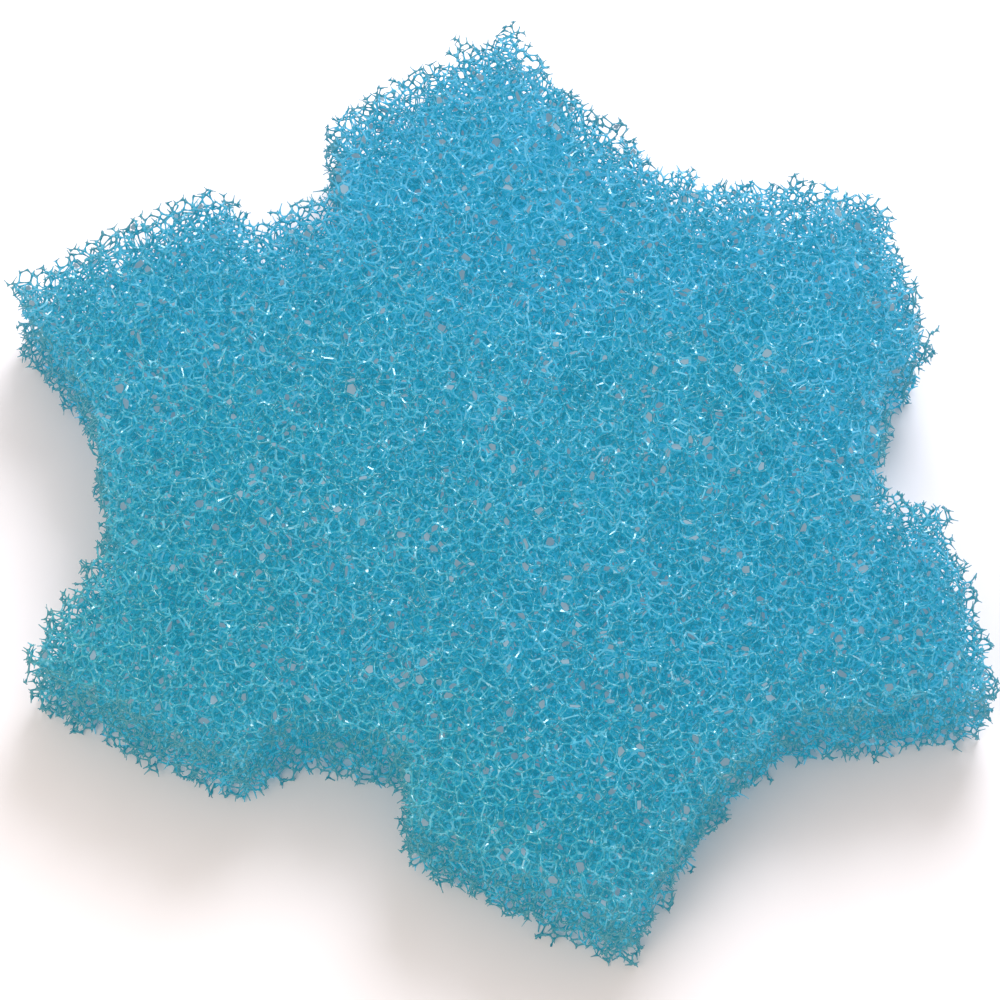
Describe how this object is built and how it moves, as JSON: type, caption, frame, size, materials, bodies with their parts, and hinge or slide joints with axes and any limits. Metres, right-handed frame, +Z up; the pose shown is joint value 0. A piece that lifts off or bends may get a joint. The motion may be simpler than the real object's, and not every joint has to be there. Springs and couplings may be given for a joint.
{
  "type": "sponge filter",
  "caption": "Star-shaped slab of coarse open-cell foam that strains and biologically filters pond or aquarium water.",
  "frame": {"origin": "middle of the slab's underside, centred on the box round it", "axes": "+Z up through the slab's thickness, +Y towards the tip that points away from the viewer, +X to the viewer's right"},
  "size_m": [0.1166, 0.1188, 0.016],
  "materials": {
    "foam": "glossy, slightly see-through struts of blue reticulated polyurethane foam"
  },
  "bodies": {
    "root": {"filter_foam": "foam"}
  },
  "joints": []
}
